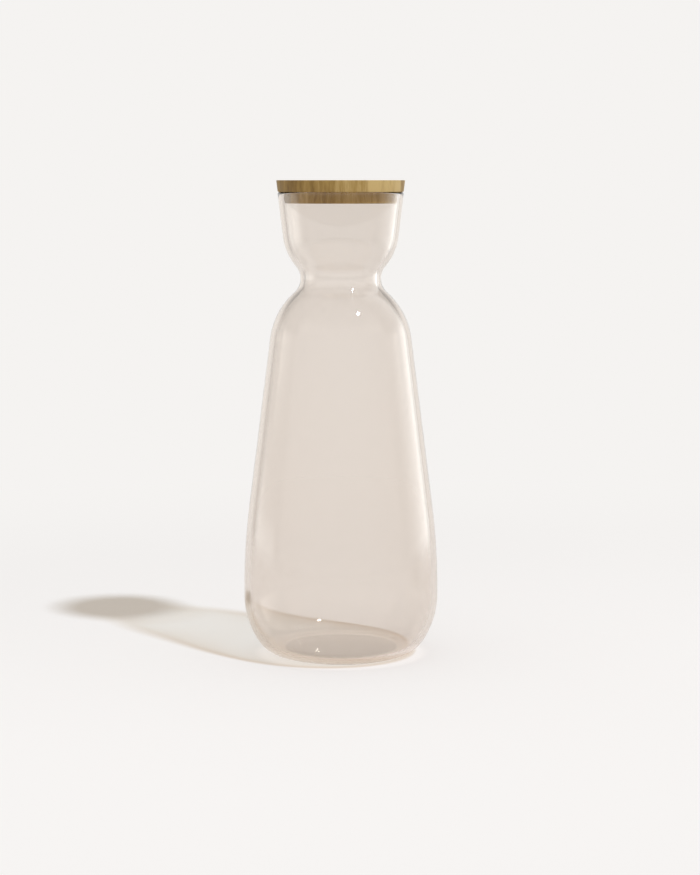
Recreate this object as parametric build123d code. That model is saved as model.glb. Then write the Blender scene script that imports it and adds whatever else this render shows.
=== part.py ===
from build123d import *
from math import atan2, cos, pi, radians, sin, sqrt, tan
from typing import NamedTuple
import os

# A waisted carafe of tinted glass, blown in one piece, with a wooden lid that lifts out.
# The lid is two discs glued face to face: a cap that rests on the lip of the glass and a
# tapered plug that hangs in the mouth. Everything is turned about the Z axis, in
# millimetres, and the flat base of the glass lies at z = 0.

# Outside of the glass
GLASS_HEIGHT = 253.8
FOOT_ARC = 17.2
SIDE_ARC = 47.0
GIRTH_RADIUS = 53.55
GIRTH_HEIGHT = 33.3
BARREL_ARC = 395.0
BODY_TAPER = 7.33
SHOULDER_ARC = 40.2
WAIST_RADIUS = 21.95
WAIST_ARC = 9.85
CUP_ARC = 31.0
CUP_HEIGHT = 46.9
MOUTH_RADIUS = 34.4
MOUTH_TAPER = 6.88

# Thickness of the glass, nearly even all over
MOUTH_WALL = 2.9
NECK_WALL = 2.8
GIRTH_WALL = 3.4
FLOOR_WALL = 3.0
HEEL_WALL = 3.2
INNER_BODY_TAPER = 7.1
LIP_LAND = 0.4

# Lid
CAP_THICKNESS = 6.2
CAP_INSET = 0.25
CAP_EDGE_ROUND = 0.35
PLUG_HEIGHT = 6.0
PLUG_EDGE_ROUND = 0.5
PLUG_CLEARANCE = 0.3


class Side(NamedTuple):
    """The sizes that shape one face of the glass wall, from its floor up to its rim."""

    floor_height: float
    foot_arc: float
    side_arc: float
    girth_radius: float
    barrel_arc: float
    body_taper: float
    shoulder_arc: float
    waist_radius: float
    waist_arc: float
    cup_arc: float
    mouth_radius: float
    rim_depth: float


def on_circle(centre, radius, angle):
    """Return the point of a circle at an angle in radians from the outward direction."""
    return (centre[0] + radius * cos(angle), centre[1] + radius * sin(angle))


def circle_arc(centre, radius, start, end):
    """Return the arc of a circle that runs from one angle to another, in radians."""
    angles = (start, (start + end) / 2, end)
    return ThreePointArc(*[on_circle(centre, radius, angle) for angle in angles])


def angle_from(centre, target):
    """Return the direction from one point to another, in radians."""
    return atan2(target[1] - centre[1], target[0] - centre[0])


def leave_line(start, direction, inward, radius, neighbour, neighbour_radius):
    """Return where a line turns into an arc that also touches a neighbouring circle.

    The arc's centre lies on the inward side of the line, and the two circles touch from
    outside. Returns the end of the line and the centre of the arc.
    """
    offset_x = start[0] + radius * inward[0] - neighbour[0]
    offset_y = start[1] + radius * inward[1] - neighbour[1]
    along = offset_x * direction[0] + offset_y * direction[1]
    reach = (radius + neighbour_radius) ** 2 - offset_x**2 - offset_y**2
    travel = -along - sqrt(along**2 + reach)
    line_end = (start[0] + travel * direction[0], start[1] + travel * direction[1])
    centre = (line_end[0] + radius * inward[0], line_end[1] + radius * inward[1])
    return line_end, centre


def body_edges(side, waist_centre):
    """Return the edges from the floor up to the waist, and the point where they start."""
    taper = radians(side.body_taper)
    side_centre = (side.girth_radius - side.side_arc, GIRTH_HEIGHT)
    foot_rise = GIRTH_HEIGHT - side.floor_height - side.foot_arc
    foot_shift = sqrt((side.side_arc - side.foot_arc) ** 2 - foot_rise**2)
    foot_centre = (side_centre[0] + foot_shift, side.floor_height + side.foot_arc)
    foot_turn = angle_from(side_centre, foot_centre)
    barrel_centre = (side.girth_radius - side.barrel_arc, GIRTH_HEIGHT)
    barrel_end = on_circle(barrel_centre, side.barrel_arc, taper)
    up_the_body = (-sin(taper), cos(taper))
    towards_axis = (-cos(taper), -sin(taper))
    body_top, shoulder_centre = leave_line(
        barrel_end, up_the_body, towards_axis, side.shoulder_arc, waist_centre, side.waist_arc
    )
    shoulder_turn = angle_from(shoulder_centre, waist_centre)
    edges = [
        circle_arc(foot_centre, side.foot_arc, -pi / 2, foot_turn),
        circle_arc(side_centre, side.side_arc, foot_turn, 0),
        circle_arc(barrel_centre, side.barrel_arc, 0, taper),
        Line(barrel_end, body_top),
        circle_arc(shoulder_centre, side.shoulder_arc, taper, shoulder_turn),
    ]
    return edges, (foot_centre[0], side.floor_height), shoulder_centre


def cup_edges(side, waist_centre):
    """Return the edges from the waist up to the rim, and the point where they end."""
    taper = radians(MOUTH_TAPER)
    rim = (side.mouth_radius - side.rim_depth * tan(taper), GLASS_HEIGHT - side.rim_depth)
    down_the_cup = (-sin(taper), -cos(taper))
    towards_axis = (-cos(taper), sin(taper))
    cup_top, cup_centre = leave_line(
        rim, down_the_cup, towards_axis, side.cup_arc, waist_centre, side.waist_arc
    )
    cup_turn = angle_from(cup_centre, waist_centre)
    edges = [circle_arc(cup_centre, side.cup_arc, cup_turn, -taper), Line(cup_top, rim)]
    return edges, rim, cup_centre


def flank(side):
    """Return the edges of one face of the wall, its foot point and its rim point."""
    waist_centre = (side.waist_radius + side.waist_arc, GLASS_HEIGHT - CUP_HEIGHT)
    body, foot, shoulder_centre = body_edges(side, waist_centre)
    cup, rim, cup_centre = cup_edges(side, waist_centre)
    waist_start = angle_from(waist_centre, shoulder_centre) + 2 * pi
    waist_end = angle_from(waist_centre, cup_centre)
    waist = circle_arc(waist_centre, side.waist_arc, waist_start, waist_end)
    return [*body, waist, *cup], foot, rim


def lip_edges(outer_rim, inner_rim, lip_round):
    """Return the rounded lip: two tangent arcs with a narrow flat land between them."""
    taper = radians(MOUTH_TAPER)
    shift = lip_round * cos(taper)
    centre_height = GLASS_HEIGHT - lip_round
    outer_centre = (outer_rim[0] - shift, centre_height)
    inner_centre = (inner_rim[0] + shift, centre_height)
    outer_land = (outer_centre[0], GLASS_HEIGHT)
    inner_land = (inner_centre[0], GLASS_HEIGHT)
    return [
        circle_arc(outer_centre, lip_round, -taper, pi / 2),
        Line(outer_land, inner_land),
        circle_arc(inner_centre, lip_round, pi / 2, pi - taper),
    ]


def turned(edges):
    """Return the solid that a closed outline of radius and height sweeps about the axis."""
    outline = make_face(edges)
    return revolve(Plane.XZ * outline, Axis.Z)


def glass_body():
    """The carafe itself: one wall of glass from the flat base to the rounded lip."""
    taper = radians(MOUTH_TAPER)
    lip_round = (MOUTH_WALL - LIP_LAND) * cos(taper) / 2
    outside = Side(
        floor_height=0,
        foot_arc=FOOT_ARC,
        side_arc=SIDE_ARC,
        girth_radius=GIRTH_RADIUS,
        barrel_arc=BARREL_ARC,
        body_taper=BODY_TAPER,
        shoulder_arc=SHOULDER_ARC,
        waist_radius=WAIST_RADIUS,
        waist_arc=WAIST_ARC,
        cup_arc=CUP_ARC,
        mouth_radius=MOUTH_RADIUS,
        rim_depth=lip_round * (1 + sin(taper)),
    )
    inside = Side(
        floor_height=FLOOR_WALL,
        foot_arc=FOOT_ARC - HEEL_WALL,
        side_arc=SIDE_ARC - GIRTH_WALL,
        girth_radius=GIRTH_RADIUS - GIRTH_WALL,
        barrel_arc=BARREL_ARC - GIRTH_WALL,
        body_taper=INNER_BODY_TAPER,
        shoulder_arc=SHOULDER_ARC - NECK_WALL,
        waist_radius=WAIST_RADIUS - NECK_WALL,
        waist_arc=WAIST_ARC + NECK_WALL,
        cup_arc=CUP_ARC - NECK_WALL,
        mouth_radius=MOUTH_RADIUS - MOUTH_WALL,
        rim_depth=lip_round * (1 - sin(taper)),
    )
    outer_edges, outer_foot, outer_rim = flank(outside)
    inner_edges, inner_foot, inner_rim = flank(inside)
    base = Line((0, 0), outer_foot)
    floor = Line(inner_foot, (0, FLOOR_WALL))
    axis = Line((0, FLOOR_WALL), (0, 0))
    lip = lip_edges(outer_rim, inner_rim, lip_round)
    return turned([base, *outer_edges, *lip, *inner_edges, floor, axis])


def tapered_disc(low_radius, low_height, high_radius, high_height):
    """Return a sharp-edged disc whose side leans outwards, and its two rims, lower first."""
    low_side = [(0, low_height), (low_radius, low_height)]
    high_side = [(high_radius, high_height), (0, high_height)]
    disc = turned(Polyline(*low_side, *high_side, close=True).edges())
    return disc, disc.edges().filter_by(GeomType.CIRCLE).sort_by(Axis.Z)


def lid_cap():
    """The upper disc of the lid, which lies on the lip and carries on the mouth's taper."""
    low_radius = MOUTH_RADIUS - CAP_INSET
    top_radius = low_radius + CAP_THICKNESS * tan(radians(MOUTH_TAPER))
    top_height = GLASS_HEIGHT + CAP_THICKNESS
    disc, rims = tapered_disc(low_radius, GLASS_HEIGHT, top_radius, top_height)
    return fillet(rims, CAP_EDGE_ROUND)


def lid_plug():
    """The lower disc of the lid, glued under the cap, which fills the mouth loosely."""
    top_radius = MOUTH_RADIUS - MOUTH_WALL - PLUG_CLEARANCE
    low_radius = top_radius - PLUG_HEIGHT * tan(radians(MOUTH_TAPER))
    disc, rims = tapered_disc(low_radius, GLASS_HEIGHT - PLUG_HEIGHT, top_radius, GLASS_HEIGHT)
    return fillet(rims[0], PLUG_EDGE_ROUND)


os.makedirs("parts", exist_ok=True)
for name, make in {"glass_body": glass_body, "lid_cap": lid_cap, "lid_plug": lid_plug}.items():
    export_step(make(), f"parts/{name}.step")
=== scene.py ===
"""Dresses the waisted glass carafe and its wooden lid around their CAD frame."""

import math

import bmesh
import bpy
from bpy.props import FloatProperty, FloatVectorProperty, IntProperty, PointerProperty
from bpy.types import Operator, Panel, PropertyGroup
from mathutils import Matrix, Vector


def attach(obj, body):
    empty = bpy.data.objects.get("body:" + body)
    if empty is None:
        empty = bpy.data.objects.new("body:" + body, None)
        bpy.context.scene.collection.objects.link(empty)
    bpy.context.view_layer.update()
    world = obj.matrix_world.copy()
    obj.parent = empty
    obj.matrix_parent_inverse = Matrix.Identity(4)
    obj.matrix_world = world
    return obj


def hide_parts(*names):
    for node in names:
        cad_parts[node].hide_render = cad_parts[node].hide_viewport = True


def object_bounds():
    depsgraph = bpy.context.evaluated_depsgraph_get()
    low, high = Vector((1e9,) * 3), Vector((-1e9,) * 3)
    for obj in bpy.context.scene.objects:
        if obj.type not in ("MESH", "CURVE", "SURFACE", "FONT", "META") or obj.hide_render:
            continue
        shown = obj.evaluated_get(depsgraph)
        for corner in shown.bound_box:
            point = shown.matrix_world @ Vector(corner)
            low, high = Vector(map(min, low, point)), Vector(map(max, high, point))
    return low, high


bl_info = {
    "name": "Carafe with wooden lid",
    "version": (1, 0, 0),
    "blender": (4, 5, 0),
    "location": "3D View > Sidebar > Carafe",
    "description": "Models a waisted carafe of tinted glass with a two-disc wooden lid",
    "category": "Object",
}

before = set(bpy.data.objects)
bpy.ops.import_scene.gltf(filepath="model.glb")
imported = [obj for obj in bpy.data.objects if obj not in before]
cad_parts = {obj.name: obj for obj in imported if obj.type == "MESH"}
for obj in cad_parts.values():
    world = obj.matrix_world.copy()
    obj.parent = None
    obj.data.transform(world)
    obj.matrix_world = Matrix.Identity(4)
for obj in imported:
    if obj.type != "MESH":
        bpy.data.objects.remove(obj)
CAD_BOX = [list(corner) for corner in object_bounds()]
CAD_HALF_WIDTH = min(abs(side) for corner in CAD_BOX for side in corner[:2])

# Lengths, and parts of a normal, that differ by less than this count as the same
SAME_POINT = 1e-6
FULL_TURN = 2 * math.pi
HALF_TURN = math.pi
QUARTER_TURN = math.pi / 2

# Faces along the short stretches of the outline of the glass
LEAST_ARC_FACES = 6
LIP_FACES = 6
FLAT_FACES_PER_FOOT_ARC = 4

# Faces across each rounded rim of the wood
ROUNDING_FACES = 5

# Edges between faces that meet more sharply than this stay sharp
SHARP_ANGLE = math.radians(30)

# Tones of the grain at which the three colours of the wood lie
DARK_TONE, MIDDLE_TONE, LIGHT_TONE = 0.3, 0.5, 0.72

# Way in which painted shade darkens the paper towards the back left
TO_BACK_LEFT = (-0.45, 0.9, 0.0)

# Light paths long enough for several walls of glass one behind the other
LIGHT_BOUNCES = 24
MIRROR_BOUNCES = 16

# Brightest light that one path may add after its first bounce
BRIGHTEST_PATH = 40


def length(name, description, default):
    """Return a property that holds a length in metres."""
    return FloatProperty(name=name, description=description, default=default, unit="LENGTH", precision=5)


def angle(name, description, degrees):
    """Return a property that holds an angle, given in degrees."""
    return FloatProperty(
        name=name, description=description, default=math.radians(degrees), unit="ROTATION"
    )


def colour(name, description, default):
    """Return a property that holds a linear colour."""
    return FloatVectorProperty(
        name=name, description=description, default=default, size=3, min=0.0, max=1.0, subtype="COLOR"
    )


def share(name, description, default):
    """Return a property that holds a share from none to all."""
    return FloatProperty(
        name=name, description=description, default=default, min=0.0, max=1.0, subtype="FACTOR"
    )


def amount(name, description, default):
    """Return a property that holds a plain amount of zero or more."""
    return FloatProperty(name=name, description=description, default=default, min=0.0)


def lengths(name, description, start, end):
    """Return a property that holds two lengths in metres, where a change starts and ends."""
    return FloatVectorProperty(
        name=name, description=description, default=(start, end), size=2, unit="LENGTH", precision=4
    )


def turns(name, description, start, end):
    """Return a property that holds two angles, given in degrees, between which a change runs."""
    ends = (math.radians(start), math.radians(end))
    return FloatVectorProperty(name=name, description=description, default=ends, size=2, unit="ROTATION")


def heights(name, description, start, end):
    """Return a property that holds two heights of a direction, from -1 down to 1 up."""
    return FloatVectorProperty(name=name, description=description, default=(start, end), size=2)


def board_pitch(name, description, default):
    """Return a property that holds how many lines cross a metre along each axis."""
    return FloatVectorProperty(name=name, description=description, default=default, size=3)


def board_place(name, description, default):
    """Return a property that holds a place in a board, in metres."""
    return FloatVectorProperty(
        name=name, description=description, default=default, size=3, unit="LENGTH", precision=4
    )


class CarafeGlassSizes(PropertyGroup):
    """Sizes of the blown glass, all in metres, as in the CAD frame."""

    height: length("Height", "From the base to the top of the lip", 0.2538)
    foot_arc: length("Foot arc", "Radius of the corner round the flat base", 0.0172)
    side_arc: length("Side arc", "Radius of the side below the girth", 0.047)
    girth_radius: length("Girth radius", "Outside radius at the widest point", 0.05355)
    girth_height: length("Girth height", "Height of the widest point", 0.0333)
    barrel_arc: length("Barrel arc", "Radius of the side just above the girth", 0.395)
    body_taper: angle("Body taper", "Lean of the outside of the body", 7.33)
    shoulder_arc: length("Shoulder arc", "Radius of the shoulder under the waist", 0.0402)
    waist_radius: length("Waist radius", "Outside radius at the narrowest point", 0.02195)
    waist_arc: length("Waist arc", "Radius of the hollow round the waist", 0.00985)
    cup_arc: length("Cup arc", "Radius of the bottom of the cup above the waist", 0.031)
    cup_height: length("Cup height", "From the waist to the top of the lip", 0.0469)
    mouth_radius: length("Mouth radius", "Outside radius of the cone at the lip", 0.0344)
    mouth_taper: angle("Mouth taper", "Lean of the cup", 6.88)
    mouth_wall: length("Mouth wall", "Level thickness of the glass at the lip", 0.0029)
    neck_wall: length("Neck wall", "Thickness from the shoulder to the cup", 0.0028)
    girth_wall: length("Girth wall", "Thickness at the widest point", 0.0034)
    floor_wall: length("Floor wall", "Thickness of the floor", 0.003)
    heel_wall: length("Heel wall", "Thickness round the corner of the base", 0.0032)
    inner_body_taper: angle("Inner body taper", "Lean of the inside of the body", 7.1)
    lip_land: length("Lip land", "Width of the flat on top of the lip", 0.0004)
    steps: IntProperty(name="Steps", description="Faces round the glass", default=180, min=24)
    arc_step: length("Arc step", "Longest face along the outline", 0.0016)


class CarafeLidSizes(PropertyGroup):
    """Sizes of the two wooden discs of the lid, in metres."""

    cap_thickness: length("Cap thickness", "Height of the cap above the lip", 0.0062)
    cap_inset: length("Cap inset", "How far the cap lies inside the cone of the mouth", 0.00025)
    cap_edge_round: length("Cap edge round", "Radius of both rims of the cap", 0.00035)
    plug_height: length("Plug height", "How deep the plug hangs in the mouth", 0.006)
    plug_edge_round: length("Plug edge round", "Radius of the lower rim of the plug", 0.0005)
    plug_clearance: length("Plug clearance", "Gap between the plug and the glass", 0.0003)
    face_border: length("Face border", "Width of the outer ring of faces on each flat", 0.0008)
    steps: IntProperty(name="Steps", description="Faces round each disc", default=192, min=24)


class CarafeFinishes(PropertyGroup):
    """Colours and finishes of the glass and the wood."""

    glass_colour: colour("Glass colour", "Tint that each face of the glass gives", (0.966, 0.95, 0.934))
    glass_tint: colour("Glass tint", "Colour that the glass passes in depth", (0.705, 0.56, 0.43))
    glass_depth: amount("Glass depth", "How fast the tint deepens, per metre", 60.0)
    glass_ior: amount("Glass index", "Index of refraction", 1.5)
    lamp_tint: colour("Lamp tint", "Light that one face of the glass lets through", (0.967, 0.992, 1.0))
    wood_dark: colour("Wood dark", "Late wood, pores and dark staves", (0.19, 0.106, 0.019))
    wood_middle: colour("Wood middle", "Main colour of the oiled wood", (0.34, 0.215, 0.06))
    wood_light: colour("Wood light", "Pale early wood", (0.52, 0.37, 0.15))
    wood_roughness: share("Wood roughness", "How matt the oiled wood is", 0.55)
    stave_width: length("Stave width", "Width of the glued staves", 0.0088)
    stave_share: share("Stave share", "How much the staves differ, against the growth lines", 0.3)
    growth_pitch: board_pitch("Growth pitch", "Growth lines per metre", (430.0, 14.0, 34.0))
    fibre_pitch: board_pitch("Fibre pitch", "Fibres per metre", (1900.0, 60.0, 190.0))
    fibre_height: length("Fibre height", "How far the fibres stand out of the surface", 0.0001)
    fibre_share: share("Fibre share", "How much the fibres show in the colour", 0.3)
    # The cap is painted paler to the right: partly paler staves, partly painted light on the side that
    # faces the key lamp
    paler_and_lit_side: lengths("Paler side", "Where the cap turns paler, from left to right", -0.03, 0.035)
    cap_paler_and_lit: share("Cap paler", "How much paler the right of the cap is", 0.13)
    cap_cut: board_place("Cap cut", "Place of the cap in its board", (0.0031, 0.0, 0.0))
    plug_cut: board_place("Plug cut", "Place of the plug in its board", (-0.0713, 0.05, 0.02))


class CarafeStudio(PropertyGroup):
    """Camera, backdrop, floor and key lamp."""

    camera_distance: length("Camera distance", "Level distance from the axis", 1.1913)
    camera_height: length("Camera height", "Height of the lens above the floor", 0.2609)
    camera_pitch: angle("Camera pitch", "How far the camera looks down", 6.76)
    camera_yaw: angle("Camera yaw", "How far the camera looks right of the axis", 0.243)
    camera_lens: FloatProperty(
        name="Lens", description="Focal length for a 36 mm long side", default=89.88, unit="CAMERA"
    )
    backdrop_colour: colour("Backdrop", "Colour seen behind the carafe", (0.913, 0.896, 0.879))
    floor_colour: colour("Floor", "Colour of the paper floor", (0.937, 0.934, 0.93))
    ambient_colour: colour("Ambient", "Light from all round", (0.607, 0.55, 0.485))
    floor_size: length("Floor size", "Length of each side of the floor", 30.0)
    floor_drop: length("Floor drop", "How far the floor lies under the base", 0.0001)
    fade: lengths("Fade", "Distances over which the floor fades into the backdrop", 0.25, 0.7)
    mirror_fade: lengths("Mirror fade", "Distances over which the mirrored floor fades out", 0.3, 0.9)
    # Painted shade under the foot and a painted glow round it, both set in the paper's colour
    painted_foot_shade: share("Foot shade", "Light that gets under the foot", 0.86)
    foot_edge: lengths("Foot edge", "Distances at which the shade of the foot ends", 0.031, 0.0318)
    painted_glow_level: amount("Glow level", "Light that the glass gathers round its foot", 1.13)
    painted_glow_edge: lengths("Glow edge", "Distances at which that light ends", 0.041, 0.05)
    # Painted shade in the paper's colour, darker towards the back left
    painted_back_left_level: share("Back left level", "Brightness of the paper far at the back left", 0.95)
    back_left: lengths("Back left", "Distances to the back left over which it dims", -0.15, 0.4)
    key_azimuth: angle("Key azimuth", "Key lamp, to the right of the camera", 46.7)
    key_elevation: angle("Key elevation", "Key lamp, above the floor", 53.9)
    key_colour: colour("Key colour", "Colour of the key lamp", (0.81, 0.89, 1.0))
    key_strength: amount("Key strength", "Power of the key lamp", 1.88)
    key_spread: angle("Key spread", "Width of the key lamp as seen from the carafe", 4.0)
    key_distance: length("Key distance", "How far the key lamp hangs from the carafe", 2.0)


class CarafeRoom(PropertyGroup):
    """What the gloss of the glass shows of the room; turns are counted from the camera."""

    wall_colour: colour("Wall colour", "Tint of the walls", (1.0, 0.987, 0.965))
    front_level: share("Front level", "Brightness of the wall behind the camera", 0.9)
    dark_level: share("Dark level", "Brightness below the front of the table", 0.12)
    table_front: heights("Table front", "Where the front wall rises out of the dark", -0.32, -0.06)
    front_top_level: share("Front top level", "Share of the front wall's brightness at its top", 0.55)
    front_top: heights("Front top", "Where the front wall dims upwards", 0.3, 0.8)
    front_end: turns("Front end", "Where the front wall gives way to the sides", 75, 88)
    side_level: share("Side level", "Brightness of the sides of the room", 0.62)
    back_level: share("Back level", "Brightness of the wall behind the carafe", 0.95)
    back_start: turns("Back start", "Where the sides give way to the back wall", 138, 147)
    skirting_level: share("Skirting level", "Share of the walls' brightness at their foot", 0.9)
    skirting: heights("Skirting", "Where the walls brighten upwards", -0.26, -0.1)
    ceiling_level: share("Ceiling level", "Share of the brightness left at the ceiling", 0.5)
    ceiling: heights("Ceiling", "Where sides, back and right panel dim upwards", 0.12, 0.34)
    panel_colour: colour("Panel colour", "Tint of the lamp panels and of the key lamp", (0.92, 0.975, 1.0))
    right_level: amount("Right level", "Brightness of the right panel", 1.4)
    right_start: turns("Right start", "Where the right panel brightens", 78, 130)
    right_end: turns("Right end", "Where the right panel ends", 136, 141)
    left_level: share("Left level", "Brightness of the low part of the left panel", 0.75)
    left_top_level: share("Left top level", "Brightness of the rest of the left panel", 0.14)
    left_top: heights("Left top", "Where the left panel dims upwards", -0.06, 0.02)
    left_start: turns("Left start", "Where the left panel starts", 86, 93)
    left_end: turns("Left end", "Where the left panel ends", 126, 132)
    bulb_level: amount("Bulb level", "Brightness of the mirrored key lamp", 200.0)
    bulb_edge: turns("Bulb edge", "Where the mirrored key lamp ends, from its middle", 1.5, 2.5)


def polar(centre, radius, turn):
    """Return the point of a circle at a turn from the outward direction."""
    return (centre[0] + radius * math.cos(turn), centre[1] + radius * math.sin(turn))


def turn_from(centre, target):
    """Return the direction from one point to another."""
    return math.atan2(target[1] - centre[1], target[0] - centre[0])


def arc_points(centre, radius, start, end, step):
    """Return points along an arc, without its first one."""
    count = max(LEAST_ARC_FACES, math.ceil(abs(end - start) * radius / step))
    return [polar(centre, radius, start + (end - start) * index / count) for index in range(1, count + 1)]


def line_points(start, end, step):
    """Return points along a straight line, without its first one."""
    count = max(1, math.ceil(math.dist(start, end) / step))
    shares = [index / count for index in range(1, count + 1)]
    return [tuple(a + (b - a) * part for a, b in zip(start, end)) for part in shares]


def leave_line(start, way, inward, radius, neighbour, neighbour_radius):
    """Return where a line ends and the centre of the arc that joins it to a neighbour.

    The arc lies on the inward side of the line, and the two circles touch from outside.
    """
    offset = [start[axis] + radius * inward[axis] - neighbour[axis] for axis in (0, 1)]
    along = offset[0] * way[0] + offset[1] * way[1]
    reach = (radius + neighbour_radius) ** 2 - offset[0] ** 2 - offset[1] ** 2
    travel = -along - math.sqrt(along**2 + reach)
    line_end = tuple(start[axis] + travel * way[axis] for axis in (0, 1))
    centre = tuple(line_end[axis] + radius * inward[axis] for axis in (0, 1))
    return line_end, centre


def wall_side(sizes, thickness, floor_height, heel, taper, rim_depth):
    """Return one side of the wall as points from the edge of its floor up to its rim.

    thickness holds how far this side lies inside the outer one at the girth, the neck and
    the mouth; it is all zero for the outside.
    """
    girth, neck, mouth = thickness
    step = sizes.arc_step
    fine_step, long_step, straight_step = step / 2, step * 2, step * 3
    waist_arc = sizes.waist_arc + neck
    waist = (sizes.waist_radius - neck + waist_arc, sizes.height - sizes.cup_height)
    foot_arc = sizes.foot_arc - heel
    side_arc = sizes.side_arc - girth
    barrel_arc = sizes.barrel_arc - girth
    shoulder_arc = sizes.shoulder_arc - neck
    cup_arc = sizes.cup_arc - neck

    girth_radius = sizes.girth_radius - girth
    side_centre = (girth_radius - side_arc, sizes.girth_height)
    foot_rise = sizes.girth_height - floor_height - foot_arc
    foot_shift = math.sqrt((side_arc - foot_arc) ** 2 - foot_rise**2)
    foot_centre = (side_centre[0] + foot_shift, floor_height + foot_arc)
    foot_turn = turn_from(side_centre, foot_centre)
    barrel_centre = (girth_radius - barrel_arc, sizes.girth_height)
    barrel_end = polar(barrel_centre, barrel_arc, taper)
    body_top, shoulder = leave_line(
        barrel_end,
        (-math.sin(taper), math.cos(taper)),
        (-math.cos(taper), -math.sin(taper)),
        shoulder_arc,
        waist,
        waist_arc,
    )

    waist_start = turn_from(waist, shoulder) + FULL_TURN
    lean = sizes.mouth_taper
    rim = (sizes.mouth_radius - mouth - rim_depth * math.tan(lean), sizes.height - rim_depth)
    cup_top, cup = leave_line(
        rim,
        (-math.sin(lean), -math.cos(lean)),
        (-math.cos(lean), math.sin(lean)),
        cup_arc,
        waist,
        waist_arc,
    )
    start = (foot_centre[0], floor_height)
    return [
        start,
        *arc_points(foot_centre, foot_arc, -QUARTER_TURN, foot_turn, step),
        *arc_points(side_centre, side_arc, foot_turn, 0, step),
        *arc_points(barrel_centre, barrel_arc, 0, taper, long_step),
        *line_points(barrel_end, body_top, straight_step),
        *arc_points(shoulder, shoulder_arc, taper, turn_from(shoulder, waist), step),
        *arc_points(waist, waist_arc, waist_start, turn_from(waist, cup), fine_step),
        *arc_points(cup, cup_arc, turn_from(cup, waist), -lean, step),
        *line_points(cup_top, rim, long_step),
    ]


def glass_outline(sizes):
    """Return the section of the glass, from the middle of its base to that of its floor."""
    lean = sizes.mouth_taper
    lip_round = (sizes.mouth_wall - sizes.lip_land) * math.cos(lean) / 2
    lip_height = sizes.height - lip_round
    outside = wall_side(sizes, (0, 0, 0), 0, 0, sizes.body_taper, lip_round * (1 + math.sin(lean)))
    inside = wall_side(
        sizes,
        (sizes.girth_wall, sizes.neck_wall, sizes.mouth_wall),
        sizes.floor_wall,
        sizes.heel_wall,
        sizes.inner_body_taper,
        lip_round * (1 - math.sin(lean)),
    )
    outer_lip = (outside[-1][0] - lip_round * math.cos(lean), lip_height)
    inner_lip = (inside[-1][0] + lip_round * math.cos(lean), lip_height)
    lip_step = lip_round / LIP_FACES
    outer_round = arc_points(outer_lip, lip_round, -lean, QUARTER_TURN, lip_step)
    inner_round = arc_points(inner_lip, lip_round, QUARTER_TURN, HALF_TURN - lean, lip_step)
    inner_land = (inner_lip[0], sizes.height)
    flat_step = sizes.foot_arc / FLAT_FACES_PER_FOOT_ARC
    base = line_points((0, 0), outside[0], flat_step)
    floor = line_points(inside[0], (0, sizes.floor_wall), flat_step)
    return [
        (0, 0),
        *base,
        *outside[1:],
        *outer_round,
        inner_land,
        *inner_round[:-1],
        *reversed(inside),
        *floor,
    ]


def deselect_everything():
    """Leave nothing selected, so that the next operator acts on its own piece alone."""
    bpy.ops.object.select_all(action="DESELECT")


def spin_up(name, outline, steps):
    """Model a closed turned piece: draw its outline by extruding a point, then spin it."""
    deselect_everything()
    bpy.ops.mesh.primitive_plane_add(size=outline[1][0])
    piece = bpy.context.object
    piece.name = piece.data.name = name
    bpy.ops.object.mode_set(mode="EDIT")
    bpy.ops.mesh.select_mode(type="VERT")
    bpy.ops.mesh.select_all(action="SELECT")
    bpy.ops.mesh.merge(type="CENTER")
    for here, there in zip(outline, outline[1:]):
        move = (there[0] - here[0], 0, there[1] - here[1])
        bpy.ops.mesh.extrude_region_move(TRANSFORM_OT_translate={"value": move})
    bpy.ops.mesh.select_all(action="SELECT")
    bpy.ops.mesh.spin(steps=steps, angle=FULL_TURN, center=(0, 0, 0), axis=(0, 0, 1))
    bpy.ops.mesh.select_all(action="SELECT")
    bpy.ops.mesh.remove_doubles(threshold=SAME_POINT)
    bpy.ops.mesh.normals_make_consistent(inside=False)
    bpy.ops.object.mode_set(mode="OBJECT")
    bpy.ops.object.shade_smooth()
    return piece


def select_rim(piece, height):
    """Select, in edit mode, the level edges that lie at one height round a piece."""
    bpy.ops.mesh.select_mode(type="EDGE")
    bpy.ops.mesh.select_all(action="DESELECT")
    mesh = bmesh.from_edit_mesh(piece.data)
    for edge in mesh.edges:
        if all(abs(vertex.co.z - height) < SAME_POINT for vertex in edge.verts):
            edge.select_set(True)
    bmesh.update_edit_mesh(piece.data)


def select_flats(piece):
    """Select, in edit mode, the level many-sided faces at the bottom and top of a piece."""
    bpy.ops.mesh.select_mode(type="FACE")
    bpy.ops.mesh.select_all(action="DESELECT")
    mesh = bmesh.from_edit_mesh(piece.data)
    for face in mesh.faces:
        face.select_set(abs(face.normal.z) > 1 - SAME_POINT and len(face.verts) > 4)
    bmesh.update_edit_mesh(piece.data)


def turn_disc(name, low, high, lid, low_round, high_round):
    """Model a wooden disc between two (radius, height) rims and round the rims over."""
    deselect_everything()
    middle = (low[1] + high[1]) / 2
    bpy.ops.mesh.primitive_cone_add(
        vertices=lid.steps, radius1=low[0], radius2=high[0], depth=high[1] - low[1], location=(0, 0, middle)
    )
    piece = bpy.context.object
    piece.name = piece.data.name = name
    bpy.ops.object.transform_apply(location=True, rotation=True, scale=True)
    bpy.ops.object.mode_set(mode="EDIT")
    for rim, rounding in ((low, low_round), (high, high_round)):
        if rounding:
            select_rim(piece, rim[1])
            bpy.ops.mesh.bevel(offset=rounding, offset_type="OFFSET", segments=ROUNDING_FACES, profile=0.5)
    select_flats(piece)
    bpy.ops.mesh.inset(thickness=lid.face_border)
    bpy.ops.mesh.poke()
    bpy.ops.mesh.select_all(action="SELECT")
    bpy.ops.mesh.normals_make_consistent(inside=False)
    bpy.ops.object.mode_set(mode="OBJECT")
    bpy.ops.object.shade_smooth_by_angle(angle=SHARP_ANGLE)
    return piece


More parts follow.
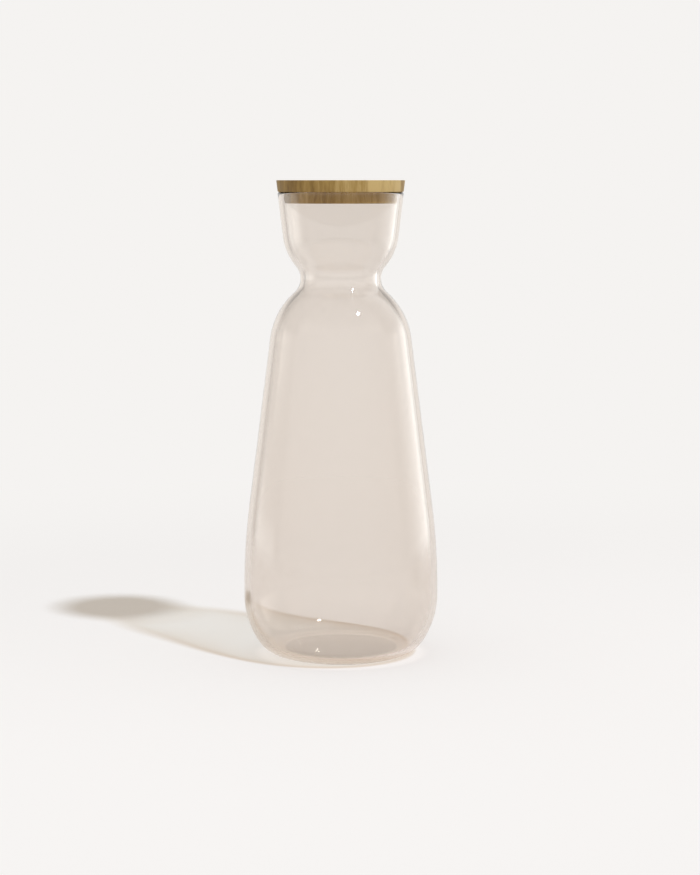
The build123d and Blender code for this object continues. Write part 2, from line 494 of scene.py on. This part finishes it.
def new_material(name):
    """Return a new node material, its node tree and its main shader."""
    material = bpy.data.materials.new(name)
    material.use_nodes = True
    return material, material.node_tree, material.node_tree.nodes["Principled BSDF"]


def feed(tree, socket, value):
    """Link a socket to another one, or set it to a plain value."""
    if isinstance(value, bpy.types.NodeSocket):
        tree.links.new(value, socket)
    else:
        socket.default_value = value


def add_node(tree, kind, **inputs):
    """Add a shader node and fill the inputs that are named, or numbered as _0, _1."""
    node = tree.nodes.new(kind)
    for key, value in inputs.items():
        place = int(key[1:]) if key.startswith("_") else key.replace("_", " ")
        feed(tree, node.inputs[place], value)
    return node


def opaque(rgb):
    """Return a colour with full alpha."""
    return (*rgb, 1.0)


def mix_surfaces(tree, factor, first, second):
    """Return one surface or background where the factor is 0 and another where it is 1."""
    return add_node(tree, "ShaderNodeMixShader", _0=factor, _1=first, _2=second).outputs["Shader"]


def tinted_glass(finishes):
    """Polished glass whose tint deepens with the length of glass that light crosses."""
    material, tree, shader = new_material("smoke_beige_glass")
    shader.inputs["Base Color"].default_value = opaque(finishes.glass_colour)
    shader.inputs["Roughness"].default_value = 0.0
    shader.inputs["IOR"].default_value = finishes.glass_ior
    shader.inputs["Transmission Weight"].default_value = 1.0
    tint = add_node(
        tree, "ShaderNodeVolumeAbsorption", Color=opaque(finishes.glass_tint), Density=finishes.glass_depth
    )
    rays = add_node(tree, "ShaderNodeLightPath")
    surface = shader.outputs["BSDF"]
    for kind, passed in (("Is Diffuse Ray", (1, 1, 1)), ("Is Shadow Ray", finishes.lamp_tint)):
        clear = add_node(tree, "ShaderNodeBsdfTransparent", Color=opaque(passed))
        surface = mix_surfaces(tree, rays.outputs[kind], surface, clear.outputs["BSDF"])
    output = tree.nodes["Material Output"]
    tree.links.new(surface, output.inputs["Surface"])
    tree.links.new(tint.outputs["Volume"], output.inputs["Volume"])
    return material


def grain(tree, place, pitch, detail, roughness):
    """Return a noise that runs along the fibres, with its pitch along each axis."""
    along = vector_sum(tree, "MULTIPLY", place, pitch)
    noise = add_node(
        tree, "ShaderNodeTexNoise", Vector=along.outputs[0], Scale=1.0, Detail=detail, Roughness=roughness
    )
    return noise.outputs["Fac"]


def blend_values(tree, factor, first, second):
    """Return a value between two others."""
    mix = tree.nodes.new("ShaderNodeMix")
    mix.data_type = "FLOAT"
    for place, value in ((0, factor), (2, first), (3, second)):
        feed(tree, mix.inputs[place], value)
    return mix.outputs[0]


def work_out(tree, operation, *values):
    """Return the outcome of one sum on values or sockets."""
    node = tree.nodes.new("ShaderNodeMath")
    node.operation = operation
    for socket, value in zip(node.inputs, values):
        feed(tree, socket, value)
    return node.outputs[0]


def product(tree, value, *others):
    """Return several values multiplied together."""
    for other in others:
        value = work_out(tree, "MULTIPLY", value, other)
    return value


def vector_sum(tree, operation, *vectors):
    """Return the vector node that works out one sum on vectors."""
    node = tree.nodes.new("ShaderNodeVectorMath")
    node.operation = operation
    for socket, vector in zip(node.inputs, vectors):
        feed(tree, socket, vector)
    return node


def rise(tree, value, low, high, bottom=0.0, top=1.0):
    """Return a value that rises smoothly from bottom to top between low and high."""
    node = add_node(
        tree, "ShaderNodeMapRange", Value=value, From_Min=low, From_Max=high, To_Min=bottom, To_Max=top
    )
    node.interpolation_type = "SMOOTHSTEP"
    return node.outputs["Result"]


def oiled_wood(name, finishes, cut, paler):
    """Oiled hardwood staves glued side by side, paler towards the right by a share: partly paler staves,
    partly painted light from the key lamp's side.
    """
    material, tree, shader = new_material(name)
    coords = add_node(tree, "ShaderNodeTexCoord")
    board = add_node(tree, "ShaderNodeMapping", Vector=coords.outputs["Object"], Location=cut)
    place = board.outputs["Vector"]
    across = add_node(tree, "ShaderNodeSeparateXYZ", Vector=place).outputs["X"]
    stave_number = work_out(tree, "FLOOR", work_out(tree, "DIVIDE", across, finishes.stave_width))
    stave_tone = tree.nodes.new("ShaderNodeTexWhiteNoise")
    stave_tone.noise_dimensions = "1D"
    tree.links.new(stave_number, stave_tone.inputs["W"])

    growth = grain(tree, place, finishes.growth_pitch, detail=3.0, roughness=0.55)
    fibres = grain(tree, place, finishes.fibre_pitch, detail=2.0, roughness=0.6)
    tone = blend_values(tree, finishes.stave_share, growth, stave_tone.outputs["Value"])
    tone = blend_values(tree, finishes.fibre_share, tone, fibres)
    # Paler to the right: partly paler staves, partly painted light from the key lamp's side
    tone = work_out(tree, "ADD", tone, rise(tree, across, *finishes.paler_and_lit_side, 0.0, paler))
    ramp = add_node(tree, "ShaderNodeValToRGB", Fac=tone)
    dark, light = ramp.color_ramp.elements
    dark.position, dark.color = DARK_TONE, opaque(finishes.wood_dark)
    light.position, light.color = LIGHT_TONE, opaque(finishes.wood_light)
    ramp.color_ramp.elements.new(MIDDLE_TONE).color = opaque(finishes.wood_middle)
    tree.links.new(ramp.outputs["Color"], shader.inputs["Base Color"])

    smoothest, roughest = finishes.wood_roughness - 0.08, finishes.wood_roughness + 0.1
    tree.links.new(blend_values(tree, fibres, smoothest, roughest), shader.inputs["Roughness"])
    shader.inputs["Specular IOR Level"].default_value = 0.35
    bump = add_node(tree, "ShaderNodeBump", Strength=0.25, Distance=finishes.fibre_height, Height=fibres)
    tree.links.new(bump.outputs["Normal"], shader.inputs["Normal"])
    return material


def dress(piece, material, body, node):
    """Give a piece its material and its slot, and let it stand for its CAD node."""
    piece.data.materials.clear()
    piece.data.materials.append(material)
    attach(piece, body)
    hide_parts(node)


class CARAFE_OT_blow_glass(Operator):
    """Model the glass as one wall spun about its axis"""

    bl_idname = "carafe.blow_glass"
    bl_label = "Blow glass"

    def execute(self, context):
        """Spin the section of the glass and give it the tinted glass."""
        scene = context.scene
        sizes = scene.carafe_glass
        fit = min(1.0, CAD_HALF_WIDTH / sizes.girth_radius)
        outline = [(radius * fit, height) for radius, height in glass_outline(sizes)]
        piece = spin_up("tinted_glass", outline, sizes.steps)
        dress(piece, tinted_glass(scene.carafe_finishes), "carafe", "glass_body")
        return {"FINISHED"}


class CARAFE_OT_turn_cap(Operator):
    """Model the cap of the lid"""

    bl_idname = "carafe.turn_cap"
    bl_label = "Turn lid cap"

    def execute(self, context):
        """Turn the cap on top of the lip, on the taper of the mouth."""
        scene = context.scene
        glass = scene.carafe_glass
        lid = scene.carafe_lid
        lean = math.tan(glass.mouth_taper)
        low_radius = glass.mouth_radius - lid.cap_inset
        low = (low_radius, glass.height)
        high = (low_radius + lid.cap_thickness * lean, glass.height + lid.cap_thickness)
        piece = turn_disc("wooden_cap", low, high, lid, lid.cap_edge_round, lid.cap_edge_round)
        finishes = scene.carafe_finishes
        wood = oiled_wood("oiled_cap_wood", finishes, finishes.cap_cut, finishes.cap_paler_and_lit)
        dress(piece, wood, "lid", "lid_cap")
        return {"FINISHED"}


class CARAFE_OT_turn_plug(Operator):
    """Model the plug of the lid"""

    bl_idname = "carafe.turn_plug"
    bl_label = "Turn lid plug"

    def execute(self, context):
        """Turn the plug that hangs under the cap, just inside the mouth."""
        scene = context.scene
        glass = scene.carafe_glass
        lid = scene.carafe_lid
        top_radius = glass.mouth_radius - glass.mouth_wall - lid.plug_clearance
        low_radius = top_radius - lid.plug_height * math.tan(glass.mouth_taper)
        low = (low_radius, glass.height - lid.plug_height)
        high = (top_radius, glass.height)
        piece = turn_disc("wooden_plug", low, high, lid, lid.plug_edge_round, 0)
        finishes = scene.carafe_finishes
        wood = oiled_wood("oiled_plug_wood", finishes, finishes.plug_cut, 0.0)
        dress(piece, wood, "lid", "lid_plug")
        return {"FINISHED"}


def first_sight(tree):
    """Return 1 where a ray comes from the camera, straight or through gloss and glass."""
    rays = add_node(tree, "ShaderNodeLightPath")
    seen = work_out(tree, "MAXIMUM", rays.outputs["Is Camera Ray"], rays.outputs["Is Glossy Ray"])
    seen = work_out(tree, "MAXIMUM", seen, rays.outputs["Is Transmission Ray"])
    before_bounce = work_out(tree, "LESS_THAN", rays.outputs["Diffuse Depth"], 0.5)
    return work_out(tree, "MULTIPLY", seen, before_bounce)


def mirrored(tree):
    """Return 1 where a ray has met at least one reflection."""
    rays = add_node(tree, "ShaderNodeLightPath")
    return work_out(tree, "GREATER_THAN", rays.outputs["Glossy Depth"], 0.5)


def mirrored_walls(tree, room, height, turn):
    """Return how bright gloss shows the walls, and how much brightness the ceiling leaves."""
    front = rise(tree, height, *room.table_front, room.dark_level, room.front_level)
    front = product(tree, front, rise(tree, height, *room.front_top, 1.0, room.front_top_level))
    past_front = rise(tree, turn, *room.front_end)
    walls = blend_values(tree, past_front, front, room.side_level)
    walls = blend_values(tree, rise(tree, turn, *room.back_start), walls, room.back_level)
    skirting = rise(tree, height, *room.skirting, room.skirting_level, 1.0)
    ceiling = rise(tree, height, *room.ceiling, 1.0, room.ceiling_level)
    return product(tree, walls, skirting, blend_values(tree, past_front, 1.0, ceiling)), ceiling


def mirrored_bulb(tree, room, studio, way):
    """Return how bright gloss shows the key lamp."""
    towards_key = direction(studio.key_azimuth, studio.key_elevation)
    near_key = vector_sum(tree, "DOT_PRODUCT", way, towards_key).outputs["Value"]
    core, rim = (math.cos(turn) for turn in room.bulb_edge)
    return rise(tree, near_key, rim, core, 0.0, room.bulb_level)


def reflected_room(tree, room, studio):
    """Return how bright gloss shows the walls of the room, and its panels and lamp."""
    way = add_node(tree, "ShaderNodeTexCoord").outputs["Generated"]
    axes = add_node(tree, "ShaderNodeSeparateXYZ", Vector=way)
    height = axes.outputs["Z"]
    towards_camera = work_out(tree, "MULTIPLY", axes.outputs["Y"], -1.0)
    rightwards = work_out(tree, "ARCTAN2", axes.outputs["X"], towards_camera)
    leftwards = work_out(tree, "MULTIPLY", rightwards, -1.0)
    turn = work_out(tree, "ABSOLUTE", rightwards)
    walls, ceiling = mirrored_walls(tree, room, height, turn)
    right = product(
        tree,
        rise(tree, rightwards, *room.right_start, 0.0, room.right_level),
        rise(tree, rightwards, *room.right_end, 1.0, 0.0),
        ceiling,
    )
    left = product(
        tree,
        rise(tree, height, *room.left_top, room.left_level, room.left_top_level),
        rise(tree, leftwards, *room.left_start),
        rise(tree, leftwards, *room.left_end, 1.0, 0.0),
    )
    panels = work_out(tree, "ADD", right, left)
    return walls, work_out(tree, "ADD", panels, mirrored_bulb(tree, room, studio, way))


def light_the_world(studio, room):
    """Set an even ambient light, seen as the plain backdrop, and the room that gloss shows."""
    world = bpy.data.worlds.new("studio")
    bpy.context.scene.world = world
    world.use_nodes = True
    tree = world.node_tree
    ambient = add_node(tree, "ShaderNodeBackground", Color=opaque(studio.ambient_colour), Strength=1.0)
    backdrop = add_node(tree, "ShaderNodeBackground", Color=opaque(studio.backdrop_colour), Strength=1.0)
    walls, panels = reflected_room(tree, room, studio)
    walls = add_node(tree, "ShaderNodeBackground", Color=opaque(room.wall_colour), Strength=walls)
    panels = add_node(tree, "ShaderNodeBackground", Color=opaque(room.panel_colour), Strength=panels)
    gloss = add_node(tree, "ShaderNodeAddShader", _0=walls.outputs[0], _1=panels.outputs[0])
    seen = mix_surfaces(tree, mirrored(tree), backdrop.outputs[0], gloss.outputs[0])
    surface = mix_surfaces(tree, first_sight(tree), ambient.outputs[0], seen)
    tree.links.new(surface, tree.nodes["World Output"].inputs["Surface"])


def painted_paper_shade(tree, studio, place, distance):
    """Return the painted shade and light in the paper's colour: darker under the foot, brighter round it,
    and darker towards the back left, behind the foot.
    """
    # Painted shade darkens the paper under the foot, and a painted glow brightens a ring round it, where
    # the glass would gather light
    foot = rise(tree, distance, *studio.foot_edge, studio.painted_foot_shade, studio.painted_glow_level)
    past_glow = rise(tree, distance, *studio.painted_glow_edge, 1.0, 1.0 / studio.painted_glow_level)
    # Painted shade darkens the paper towards the back left
    to_back_left = vector_sum(tree, "DOT_PRODUCT", place, TO_BACK_LEFT).outputs["Value"]
    painted_back_left_shade = rise(tree, to_back_left, *studio.back_left, 1.0, studio.painted_back_left_level)
    return product(tree, foot, past_glow, painted_back_left_shade)


def paper_floor(studio):
    """Pale paper that keeps the shadows near the carafe and fades into the backdrop; painted shade and a
    painted glow round the foot lie in its colour.
    """
    material, tree, shader = new_material("pale_paper")
    shader.inputs["Roughness"].default_value = 0.9
    shader.inputs["Specular IOR Level"].default_value = 0.0
    place = add_node(tree, "ShaderNodeTexCoord").outputs["Object"]
    distance = vector_sum(tree, "LENGTH", place).outputs["Value"]
    shade = painted_paper_shade(tree, studio, place, distance)
    # The paper's colour carries the painted shade and the painted glow
    shaded = vector_sum(tree, "MULTIPLY", studio.floor_colour, shade)
    tree.links.new(shaded.outputs[0], shader.inputs["Base Color"])

    far = add_node(tree, "ShaderNodeEmission", Color=opaque(studio.backdrop_colour), Strength=1.0)
    seen = first_sight(tree)
    fade = product(tree, rise(tree, distance, *studio.fade), seen)
    surface = mix_surfaces(tree, fade, shader.outputs["BSDF"], far.outputs[0])
    edge = product(tree, rise(tree, distance, *studio.mirror_fade), seen, mirrored(tree))
    nothing = add_node(tree, "ShaderNodeBsdfTransparent")
    surface = mix_surfaces(tree, edge, surface, nothing.outputs[0])
    tree.links.new(surface, tree.nodes["Material Output"].inputs["Surface"])
    return material


def lay_floor(studio):
    """Lay the floor just under the base."""
    deselect_everything()
    bpy.ops.mesh.primitive_plane_add(size=studio.floor_size, location=(0, 0, -studio.floor_drop))
    floor = bpy.context.object
    floor.name = floor.data.name = "studio_floor"
    bpy.ops.object.transform_apply(location=True)
    floor.data.materials.append(paper_floor(studio))


def direction(azimuth, elevation):
    """Return the way from the carafe to a lamp: azimuth turns right from the camera."""
    level = math.cos(elevation)
    return Vector((level * math.sin(azimuth), -level * math.cos(azimuth), math.sin(elevation)))


def hang_key(studio):
    """Hang the small, far key lamp that draws the shadow, unseen by the camera."""
    lamp = bpy.data.objects.new("key", bpy.data.lights.new("key", "SUN"))
    bpy.context.scene.collection.objects.link(lamp)
    lamp.visible_camera = False
    lamp.data.energy = studio.key_strength
    lamp.data.color = studio.key_colour
    lamp.data.angle = studio.key_spread
    place = direction(studio.key_azimuth, studio.key_elevation) * studio.key_distance
    turn = (-place).to_track_quat("-Z", "Y").to_matrix().to_4x4()
    lamp.matrix_world = Matrix.Translation(place) @ turn


def place_camera(studio):
    """Set up the camera where the photograph was taken."""
    data = bpy.data.cameras.new("camera")
    camera = bpy.data.objects.new("camera", data)
    bpy.context.scene.collection.objects.link(camera)
    data.sensor_fit = "AUTO"
    data.sensor_width = 36.0
    data.lens = studio.camera_lens
    data.clip_start = 0.01
    data.clip_end = 100.0
    camera.location = (0, -studio.camera_distance, studio.camera_height)
    camera.rotation_euler = (QUARTER_TURN - studio.camera_pitch, 0, -studio.camera_yaw)
    bpy.context.scene.camera = camera


class CARAFE_OT_set_stage(Operator):
    """Set up the floor, the light and the camera"""

    bl_idname = "carafe.set_stage"
    bl_label = "Set stage"

    def execute(self, context):
        """Lay the floor, light it and place the camera."""
        scene = context.scene
        studio = scene.carafe_studio
        scene.view_settings.view_transform = "Standard"
        scene.cycles.max_bounces = scene.cycles.transmission_bounces = LIGHT_BOUNCES
        scene.cycles.glossy_bounces = MIRROR_BOUNCES
        scene.cycles.sample_clamp_indirect = BRIGHTEST_PATH
        light_the_world(studio, scene.carafe_room)
        lay_floor(studio)
        hang_key(studio)
        place_camera(studio)
        return {"FINISHED"}


class CARAFE_PT_sidebar(Panel):
    """Lists the pieces of the carafe and the sizes that shape them."""

    bl_label = "Carafe"
    bl_idname = "CARAFE_PT_sidebar"
    bl_space_type = "VIEW_3D"
    bl_region_type = "UI"
    bl_category = "Carafe"

    def draw(self, context):
        """Draw the buttons, then every size and colour."""
        layout = self.layout
        for operator in OPERATORS:
            layout.operator(operator.bl_idname)
        for name in SETTINGS:
            group = getattr(context.scene, name)
            box = layout.box()
            for key in group.__annotations__:
                box.prop(group, key)


OPERATORS = (CARAFE_OT_blow_glass, CARAFE_OT_turn_cap, CARAFE_OT_turn_plug, CARAFE_OT_set_stage)
SETTINGS = {
    "carafe_glass": CarafeGlassSizes,
    "carafe_lid": CarafeLidSizes,
    "carafe_finishes": CarafeFinishes,
    "carafe_studio": CarafeStudio,
    "carafe_room": CarafeRoom,
}


def register():
    """Register the classes and hang the settings on the scene."""
    for cls in (*SETTINGS.values(), *OPERATORS, CARAFE_PT_sidebar):
        bpy.utils.register_class(cls)
    for name, group in SETTINGS.items():
        setattr(bpy.types.Scene, name, PointerProperty(type=group))


def unregister():
    """Take the settings off the scene and the classes out."""
    for name in SETTINGS:
        delattr(bpy.types.Scene, name)
    for cls in reversed((*SETTINGS.values(), *OPERATORS, CARAFE_PT_sidebar)):
        bpy.utils.unregister_class(cls)


def main():
    """Build every piece and the stage."""
    register()
    bpy.ops.carafe.blow_glass()
    bpy.ops.carafe.turn_cap()
    bpy.ops.carafe.turn_plug()
    bpy.ops.carafe.set_stage()


if __name__ == "__main__":
    main()
